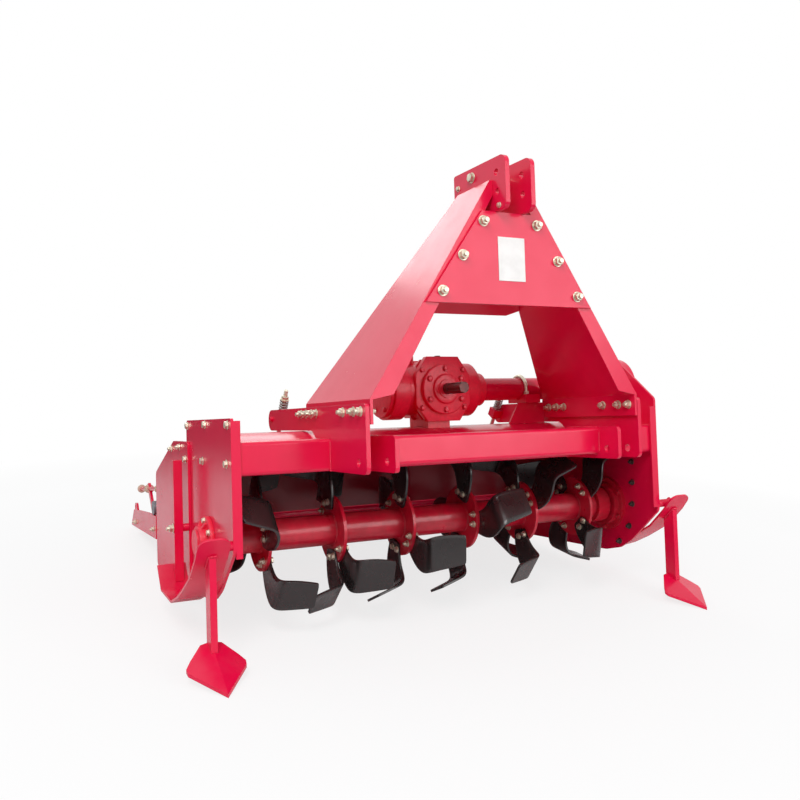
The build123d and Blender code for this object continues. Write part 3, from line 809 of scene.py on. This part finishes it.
def modelBearing(shape):
    depth, capDepth = shape["plate"] - shape["hubEnd"], shape["hubEnd"] - shape["capEnd"]
    flange = modelRing(shape["radius"], shape["bore"], shape["flange"], sides=48)
    flange.matrix_world = Matrix.Translation((0, 0, shape["flange"] / 2))
    hub = modelRing(shape["hub"], shape["bore"], depth - shape["hubStart"], sides=40)
    hub.matrix_world = Matrix.Translation((0, 0, (depth + shape["hubStart"]) / 2))
    cap = addRod(shape["cap"], capDepth, (0, 0, depth + capDepth / 2), sides=32)
    selectParts(cap, facesUp)
    bpy.ops.mesh.inset(thickness=shape["dish"][0])
    bpy.ops.transform.translate(value=(0, 0, -shape["dish"][1]))
    parts = [flange, hub, cap]
    rib = modelRib(shape)
    for number in range(shape["ribs"]):
        parts.append(copyTo(rib, Matrix.Rotation(2 * pi * number / shape["ribs"], 4, "Z")))
    removeModels(rib)
    for piece in parts:
        applyPlace(piece)
    bearing = joinPieces(parts)
    bevelAll(bearing, *shape["soften"])
    bearing.matrix_world = facing((shape["plate"], *axes["rotor"]), left)
    return bearing


bearing = finishPiece(modelBearing(bearingShape), "bearingCasting", "frame", "redCasting")
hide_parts("rotor_bearing")
print("bearing made")

# side drive case: bolts round its rim, two straights and two half circles
rim = {"reach": 0.111, "face": 0.748, "spacing": 0.075, "arc": 6, "size": 0.6, "roll": 30}


def rimPlaces(rim):
    places = []
    (axleY, low), high = axes["rotor"], axes["drive"][1]

    def addPlace(y, z, roll):
        places.append(((rim["face"], axleY + y, z), right, rim["size"], roll))

    count = int((high - low) / rim["spacing"])
    for number in range(1, count):
        z = low + (high - low) * number / count
        for side in (-1, 1):
            addPlace(side * rim["reach"], z, z * rim["roll"])
    for number in range(rim["arc"] + 1):
        angle = pi * number / rim["arc"]
        y, rise = rim["reach"] * cos(angle), rim["reach"] * sin(angle)
        addPlace(y, high + rise, angle)
        addPlace(y, low - rise, angle)
    return places


scatter(boltHead, rimPlaces(rim), "rimBolts", "frame", "yellowZinc")

# skids and struts: nuts outside, columns x, y, z, size, and a roll for each metre of height
skidNuts = ((0.7925, 0.705, 0.342, 1.1), (0.807, 0.241, 0.340, 1.0))
skidNutRoll = 8
places = []
for x, y, z, size in skidNuts:
    for side in (-1, 1):
        places.append(((side * x, y, z), (side, 0, 0), size, z * skidNutRoll))
scatter(studNut, places, "skidNuts", "frame", "yellowZinc")

# board adjusters: nuts on the threaded rods, measured along each rod from its front end
# washer: outer and inner radius, thickness; nut: width, height, start
adjuster = {
    "x": 0.720, "start": (1.157, 0.430), "end": (1.699, 0.397),
    "nuts": (0.004, 0.112, 0.151, 0.336, 0.362, 0.52), "size": 1.25, "roll": 9,
    "washer": (0.0135, 0.0066, 0.002), "nut": (0.019, 0.010, 0.001),
}


def adjusterPlaces(shape):
    places = []
    start, end = Vector((0, *shape["start"])), Vector((0, *shape["end"]))
    along = (end - start).normalized()
    for distance in shape["nuts"]:
        at = start + along * distance
        for side in (-1, 1):
            roll = distance * shape["roll"]
            places.append(((side * shape["x"], at.y, at.z), along, shape["size"], roll))
    return places


rodNut = joinPieces([modelRing(*adjuster["washer"]), modelHexagon(*adjuster["nut"])])
scatter(rodNut, adjusterPlaces(adjuster), "adjusterNuts", "bed_board", "yellowZinc")
removeModels(rodNut)
print("bolts placed")


# coil springs on their rods, which stand for the ringed sleeves
# each is drawn along z from its swivel; the eye hangs below, on the pin of the board's lug

springRod = {
    "x": 0.425, "swivel": (0.742, 0.668), "eye": (0.960, 0.330),
    "rod": 0.007, "rodSides": 20, "top": 0.112, "threaded": 0.03, "overlap": 0.001,
    "eyeOuter": 0.0165, "eyeInner": 0.0095, "eyeWidth": 0.014,
    "wire": 0.0026, "wireSides": 10, "coil": 0.0124, "turns": 5.5, "steps": 132,
    "start": 0.0163, "length": 0.058, "merge": 0.00001,
    "washer": (0.015, 0.0068, 0.003), "nut": (0.020, 0.010),
}


def modelCoil(shape):
    at = (shape["coil"], 0, shape["start"] + shape["wire"])
    coil = addDisc(shape["wire"], at, shape["wireSides"], (pi / 2, 0, 0))
    turns = coil.modifiers.new("turns", "SCREW")
    turns.angle = 2 * pi * shape["turns"]
    turns.screw_offset = shape["length"] - 2 * shape["wire"]
    turns.steps = turns.render_steps = shape["steps"]
    turns.use_merge_vertices = True
    bpy.ops.object.modifier_apply(modifier="turns")
    turnOutwards(coil, shape["merge"])
    return coil


def modelSpringRod(shape):
    (y, z), (eyeY, eyeZ) = shape["swivel"], shape["eye"]
    down = hypot(eyeY - y, eyeZ - z)
    bottom, top = -down + shape["eyeOuter"] - shape["overlap"], shape["top"] - shape["threaded"]
    springTop = shape["start"] + shape["length"]
    outer, inner, thickness = shape["washer"]
    rod = addRod(shape["rod"], top - bottom, (0, 0, (top + bottom) / 2), sides=shape["rodSides"])
    thread = modelThread(shape["rod"], shape["threaded"], top - shape["overlap"])
    eye = modelRing(shape["eyeOuter"], shape["eyeInner"], shape["eyeWidth"])
    eye.matrix_world = Matrix.Translation((0, 0, -down)) @ Matrix.Rotation(pi / 2, 4, "Y")
    washer = modelRing(outer, inner, thickness)
    washer.matrix_world = Matrix.Translation((0, 0, springTop + thickness / 2))
    nut = modelHexagon(*shape["nut"], springTop + thickness)
    return joinPieces([rod, thread, eye, washer, nut])


def rodPlace(shape, side):
    (y, z), (eyeY, eyeZ) = shape["swivel"], shape["eye"]
    upward = Vector((0, y - eyeY, z - eyeZ)).normalized()
    turn = Matrix.Rotation(atan2(-upward.y, upward.z), 4, "X")
    return Matrix.Translation((side * shape["x"], y, z)) @ turn


for side, name in ((-1, "left"), (1, "right")):
    rod, coil = modelSpringRod(springRod), modelCoil(springRod)
    rod.matrix_world = coil.matrix_world = rodPlace(springRod, side)
    finishPiece(rod, f"springRod_{name}", f"spring_rod_{name}", "yellowZinc")
    finishPiece(coil, f"springCoil_{name}", f"spring_rod_{name}", "bareSteel")
    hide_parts(f"spring_rod_{name}")
print("springs made")


# splined input shaft: splines, a plain part up to its shoulder, and a neck into the gearbox

splineShaft = {
    "front": 0.266, "radius": 0.01745, "length": 0.100, "sides": 48, "splines": 6, "depth": 0.0024,
    "plain": 0.022, "overlap": 0.0005, "neck": 0.01495, "neckEnd": 0.376, "neckSides": 32,
    "soften": 0.0004, "smooth": 25,
}


def modelSplineShaft(shape):
    z, shoulder = axes["drive"][1], shape["front"] + shape["length"]

    def rodBetween(radius, start, end, sides):
        return addRod(radius, end - start, (0, (start + end) / 2, z), "Y", sides)

    def inGroove(face):
        pitch = 2 * pi / shape["splines"]
        angle = atan2(face.center.z - z, face.center.x) % pitch
        return abs(face.normal.y) < 0.5 and angle < pitch / 2

    radius, plainStart = shape["radius"], shoulder - shape["plain"]
    shaft = rodBetween(radius, shape["front"], plainStart, shape["sides"])
    selectParts(shaft, inGroove)
    groove = {"value": -shape["depth"]}
    bpy.ops.mesh.extrude_region_shrink_fatten(TRANSFORM_OT_shrink_fatten=groove)
    plain = rodBetween(radius, plainStart - shape["overlap"], shoulder, shape["sides"])
    neck = rodBetween(shape["neck"], shoulder, shape["neckEnd"], shape["neckSides"])
    bevelAll(shaft, shape["soften"], 1)
    return joinPieces([shaft, plain, neck])


shaft = modelSplineShaft(splineShaft)
finishPiece(shaft, "splineShaft", "input_shaft", "agedShaft", smooth=splineShaft["smooth"])
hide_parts("pto_shaft")


# gearbox: softened casting and cover, bolts, plugs and the shaft's seal
# bolts: radius, size; faceTurns: degrees; plugs: x, y, z, size, roll
# seal: outer and inner radius, width

gearbox = {
    "bodySoften": 0.0035, "coverSoften": 0.003, "smooth": 40,
    "cover": 0.378, "coverBolts": (0.066, 0.78), "drumEnd": -0.183, "drumBolts": (0.070, 0.7),
    "face": 0.394, "faceBolts": (0.098, 0.72), "faceTurns": (40, 140, 218, 322), "squash": 0.98,
    "plugs": (
        (-0.077, 0.483, 0.855, 1.25, 0.2), (0.036, 0.489, 0.851, 1.0, 0.5),
        (-0.144, 0.483, 0.853, 0.85, 0.1),
    ),
    "seal": (0.030, 0.0172, 0.006), "sealMiddle": 0.369,
}


def mergedCopy(node, merge=0.00002, flat=1.5):
    # a copy of a frame node with its loose triangles merged into faces
    copy = copyTo(nodes[node], nodes[node].matrix_world)
    applyPlace(copy)
    editAll(copy)
    bpy.ops.mesh.remove_doubles(threshold=merge)
    bpy.ops.mesh.dissolve_limited(angle_limit=radians(flat))
    deselectAll()
    return copy


def softenNode(node, width, name):
    copy = mergedCopy(node)
    bevelAll(copy, width, 3, 38)
    finishPiece(copy, name, "frame", "redCasting", smooth=gearbox["smooth"], stand=False)
    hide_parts(node)


def gearboxBoltPlaces(shape):
    y, z = axes["drive"]
    places = ringPlaces((0, shape["cover"], z), front, *shape["coverBolts"], evenAngles(6, 0.5))
    places += ringPlaces((shape["drumEnd"], y, z), left, *shape["drumBolts"], evenAngles(6))
    radius, size = shape["faceBolts"]
    for turn in shape["faceTurns"]:
        x, rise = radius * cos(radians(turn)), radius * sin(radians(turn)) * shape["squash"]
        places.append(((x, shape["face"], z + rise), front, size, turn))
    return places


softenNode("gearbox_housing", gearbox["bodySoften"], "gearboxCasting")
softenNode("gearbox_cap", gearbox["coverSoften"], "gearboxCover")
scatter(boltHead, gearboxBoltPlaces(gearbox), "gearboxBolts", "frame", "redCasting")
places = [((x, y, z), up, size, roll) for x, y, z, size, roll in gearbox["plugs"]]
scatter(boltHead, places, "gearboxPlugs", "frame", "darkBolt")
seal = modelRing(*gearbox["seal"])
sealPlace = Matrix.Translation((0, gearbox["sealMiddle"], axes["drive"][1]))
seal.matrix_world = sealPlace @ Matrix.Rotation(pi / 2, 4, "X")
finishPiece(seal, "shaftSeal", "frame", "redCasting")
print("gearbox dressed")


# skids: the nose's corners are rounded; nose is its y and z on the level machine
skidShape = {
    "nose": (0.185, 0.369), "near": 0.012, "corner": 0.030, "segments": 7,
    "soften": (0.0008, 1, 50), "smooth": 25,
}


def modelSkid(node, shape):
    skid = mergedCopy(node)
    toLevel = standing.inverted()
    level = [toLevel @ vertex.co for vertex in skid.data.vertices]
    noseY, noseZ = shape["nose"]

    def acrossNose(edge):
        ends = [level[corner] for corner in edge.vertices]
        atNose = all(hypot(end.y - noseY, end.z - noseZ) < shape["near"] for end in ends)
        return atNose and abs(ends[0].x - ends[1].x) < 0.001

    selectParts(skid, acrossNose, "EDGE")
    bpy.ops.mesh.bevel(offset=shape["corner"], segments=shape["segments"])
    deselectAll()
    bevelAll(skid, *shape["soften"])
    return skid


for side in ("left", "right"):
    skid, name = modelSkid(f"skid_{side}", skidShape), f"skidRunner_{side}"
    finishPiece(skid, name, "frame", "redPaint", smooth=skidShape["smooth"], stand=False)
    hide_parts(f"skid_{side}")
print("skids rounded")


# clamp: a hoop over the side drive tube, with two legs into its stand

clamp = {
    "x": 0.354, "bend": 0.0445, "rod": 0.006, "sides": 14, "steps": 20, "foot": 0.700,
    "nut": (0.019, 0.010, 0), "nutZ": 0.728, "nutSize": 0.9, "nutRoll": 0.3,
}


def modelClamp(shape):
    x, (y, z) = shape["x"], axes["drive"]
    hoop = addDisc(shape["rod"], (x, y + shape["bend"], z), shape["sides"])
    editAll(hoop)
    bpy.ops.mesh.spin(steps=shape["steps"], angle=-pi, center=(x, y, z), axis=(1, 0, 0))
    turnOutwards(hoop)
    parts = [hoop]
    length = z - shape["foot"]
    for side in (-1, 1):
        middle = (x, y + side * shape["bend"], z - length / 2)
        parts.append(addRod(shape["rod"], length, middle, sides=shape["sides"]))
    return joinPieces(parts)


finishPiece(modelClamp(clamp), "tubeClamp", "frame", "yellowZinc")
places = []
for side in (-1, 1):
    at = (clamp["x"], axes["drive"][0] + side * clamp["bend"], clamp["nutZ"])
    places.append((at, up, clamp["nutSize"], clamp["nutRoll"]))
clampNut = modelHexagon(*clamp["nut"])
scatter(clampNut, places, "clampNuts", "frame", "yellowZinc")
removeModels(clampNut)


# weld beads

bead = {"pitch": 0.0045, "width": 0.0042, "squash": 0.8, "slant": 0.35, "smooth": 60}

# on the right, mirrored on the left; columns: x, y, z where a line starts, then where it ends
weldLines = (
    # beam to the side plates
    (0.7295, 0.239, 0.528, 0.7295, 0.239, 0.598), (0.7295, 0.248, 0.608, 0.7295, 0.318, 0.608),
    # hitch plates to the beam
    (0.4565, 0.2385, 0.520, 0.4565, 0.2385, 0.606), (0.4435, 0.2385, 0.520, 0.4435, 0.2385, 0.606),
    (0.3755, 0.2385, 0.520, 0.3755, 0.2385, 0.606), (0.3625, 0.2385, 0.520, 0.3625, 0.2385, 0.606),
    # cross tube to the hitch plates
    (0.3625, 0.084, 0.542, 0.3625, 0.084, 0.602), (0.3625, 0.164, 0.542, 0.3625, 0.164, 0.602),
    (0.3625, 0.094, 0.612, 0.3625, 0.154, 0.612), (0.3625, 0.094, 0.532, 0.3625, 0.154, 0.532),
    # feet of the shovel shanks
    (0.785, 0.219, 0.319, 0.785, 0.258, 0.284), (0.805, 0.219, 0.319, 0.805, 0.258, 0.284),
    (0.786, 0.217, 0.321, 0.804, 0.217, 0.321),
)
weldRings = {"tubeEnds": (0.1875, 0.7295), "tube": 0.0385, "disc": 0.048}


def modelBead(shape):
    deselectAll()
    bpy.ops.mesh.primitive_ico_sphere_add(subdivisions=1, radius=shape["width"])
    piece = bpy.context.object
    editAll(piece)
    bpy.ops.transform.resize(value=(shape["squash"], 1, 1))
    bpy.ops.transform.rotate(value=shape["slant"], orient_axis="Y", center_override=(0, 0, 0))
    deselectAll()
    return piece


def repeatBead(run, count, **offset):
    repeat = run.modifiers.new("beads", "ARRAY")
    repeat.count = count
    repeat.use_relative_offset = False
    for key, value in offset.items():
        setattr(repeat, key, value)
    bpy.ops.object.modifier_apply(modifier="beads")


def weldLine(model, start, end):
    start, end = Vector(start), Vector(end)
    count = max(int((end - start).length / bead["pitch"]), 2)
    run = copyTo(model, Matrix.Identity(4))
    pick(run)
    step = (bead["pitch"], 0, 0)
    repeatBead(run, count, use_constant_offset=True, constant_offset_displace=step)
    turn = (end - start).to_track_quat("X", "Z").to_matrix().to_4x4()
    run.matrix_world = Matrix.Translation(start) @ turn
    return run


def weldRing(model, x, axle, radius):
    # a bead round a shaft that runs across the machine
    count = int(2 * pi * radius / bead["pitch"])
    run = copyTo(model, Matrix.Translation((0, radius, 0)) @ Matrix.Rotation(pi / 2, 4, "Z"))
    applyPlace(run)
    pivot = bpy.data.objects.new("beadPivot", None)
    pivot.matrix_world = Matrix.Rotation(2 * pi / count, 4, "X")
    scene.collection.objects.link(pivot)
    bpy.context.view_layer.update()
    repeatBead(run, count, use_object_offset=True, offset_object=pivot)
    bpy.data.objects.remove(pivot)
    run.matrix_world = Matrix.Translation((x, *axle))
    return run


beadModel = modelBead(bead)
frameWelds = []
for side in (-1, 1):
    for x1, y1, z1, x2, y2, z2 in weldLines:
        frameWelds.append(weldLine(beadModel, (side * x1, y1, z1), (side * x2, y2, z2)))
for x in weldRings["tubeEnds"]:
    frameWelds.append(weldRing(beadModel, x, axes["drive"], weldRings["tube"]))
finishPiece(joinPieces(frameWelds), "frameWelds", "frame", "redPaint", smooth=bead["smooth"])
rotorWelds = []
for x in discPlaces:
    for side in (-1, 1):
        face = x + side * rotorShape["disc"]
        rotorWelds.append(weldRing(beadModel, face, axes["rotor"], weldRings["disc"]))
finishPiece(joinPieces(rotorWelds), "rotorWelds", "rotor", "rotorRed", smooth=bead["smooth"])
removeModels(beadModel, studNut, boltHead)
print("welds run")


# studio

studio = {
    "floor": 12.0, "floorSides": 96, "floorRough": 0.9, "floorSpecular": 0.1,
    "seenWhite": (0.9, 2.8, 0.78, 1.0), "fade": (1.9, 3.2),
    "pale": (0.88, 0.88, 0.88, 1), "dark": (0.10, 0.08, 0.08, 1),
    "sky": (0.95, 0.97, 1.0, 1), "skyLevel": 0.50, "white": (1, 1, 1, 1),
}
# columns: name, place, aim, size, power
lamps = (
    ("keyLamp", (-2.3, -3.3, 4.0), (0, 0, 0.5), 2.2, 125.0),
    ("fillLamp", (1.8, -4.0, 1.8), (0, 0, 0.5), 2.4, 42.0),
    ("rimLamp", (0.5, 3.2, 3.2), (0, 0, 0.6), 2.4, 34.0),
)


def mixShaders(tree, share, first, second, output):
    blend = tree.nodes.new("ShaderNodeMixShader")
    tree.links.new(share, blend.inputs[0])
    tree.links.new(first.outputs[0], blend.inputs[1])
    tree.links.new(second.outputs[0], blend.inputs[2])
    tree.links.new(blend.outputs[0], tree.nodes[output].inputs["Surface"])


def makeFloor(setup):
    floor = addDisc(setup["floor"], (0, 0, 0), setup["floorSides"])
    floor.name = "studioFloor"
    material = bpy.data.materials.new("floorWhite")
    material.use_nodes = True
    tree = material.node_tree
    shader = tree.nodes["Principled BSDF"]
    shader.inputs["Roughness"].default_value = setup["floorRough"]
    shader.inputs["Specular IOR Level"].default_value = setup["floorSpecular"]
    length = addNode(tree, "ShaderNodeVectorMath", operation="LENGTH")
    tree.links.new(objectPlace(tree), length.inputs[0])
    # plates reflect a pale floor near them and a dark one far off
    fade = spread(tree, length.outputs["Value"], *setup["fade"])
    tree.links.new(mixColor(tree, fade, setup["pale"], setup["dark"]), shader.inputs["Base Color"])
    # the camera sees the floor as white, apart from the shadow near the machine
    glow = addNode(tree, "ShaderNodeEmission", {"Color": setup["white"], "Strength": 1.0})
    path = tree.nodes.new("ShaderNodeLightPath")
    away = spread(tree, length.outputs["Value"], *setup["seenWhite"])
    seen = mathNode(tree, "MULTIPLY", path.outputs["Is Camera Ray"], away)
    mixShaders(tree, seen, shader, glow, "Material Output")
    floor.data.materials.append(material)


def makeWorld(setup):
    world = bpy.data.worlds.new("studioWorld")
    world.use_nodes = True
    scene.world = world
    tree = world.node_tree
    soft = tree.nodes["Background"]
    soft.inputs["Color"].default_value = setup["sky"]
    soft.inputs["Strength"].default_value = setup["skyLevel"]
    white = addNode(tree, "ShaderNodeBackground", {"Color": setup["white"], "Strength": 1.0})
    path = tree.nodes.new("ShaderNodeLightPath").outputs
    seen = mathNode(tree, "ADD", path["Is Camera Ray"], path["Is Glossy Ray"], clamp=True)
    seen = mathNode(tree, "ADD", seen, path["Is Transmission Ray"], clamp=True)
    mixShaders(tree, seen, soft, white, "World Output")


def addLamp(name, place, aim, size, power):
    lamp = bpy.data.lights.new(name, "AREA")
    lamp.shape = "DISK"
    lamp.size = size
    lamp.energy = power
    holder = bpy.data.objects.new(name, lamp)
    holder.location = place
    aimed = (Vector(aim) - Vector(place)).to_track_quat("-Z", "Y")
    holder.rotation_euler = aimed.to_euler()
    scene.collection.objects.link(holder)


makeFloor(studio)
makeWorld(studio)
for lamp in lamps:
    addLamp(*lamp)
setCamera(cameraSetup)
scene.view_settings.view_transform = "Standard"
print("studio set")
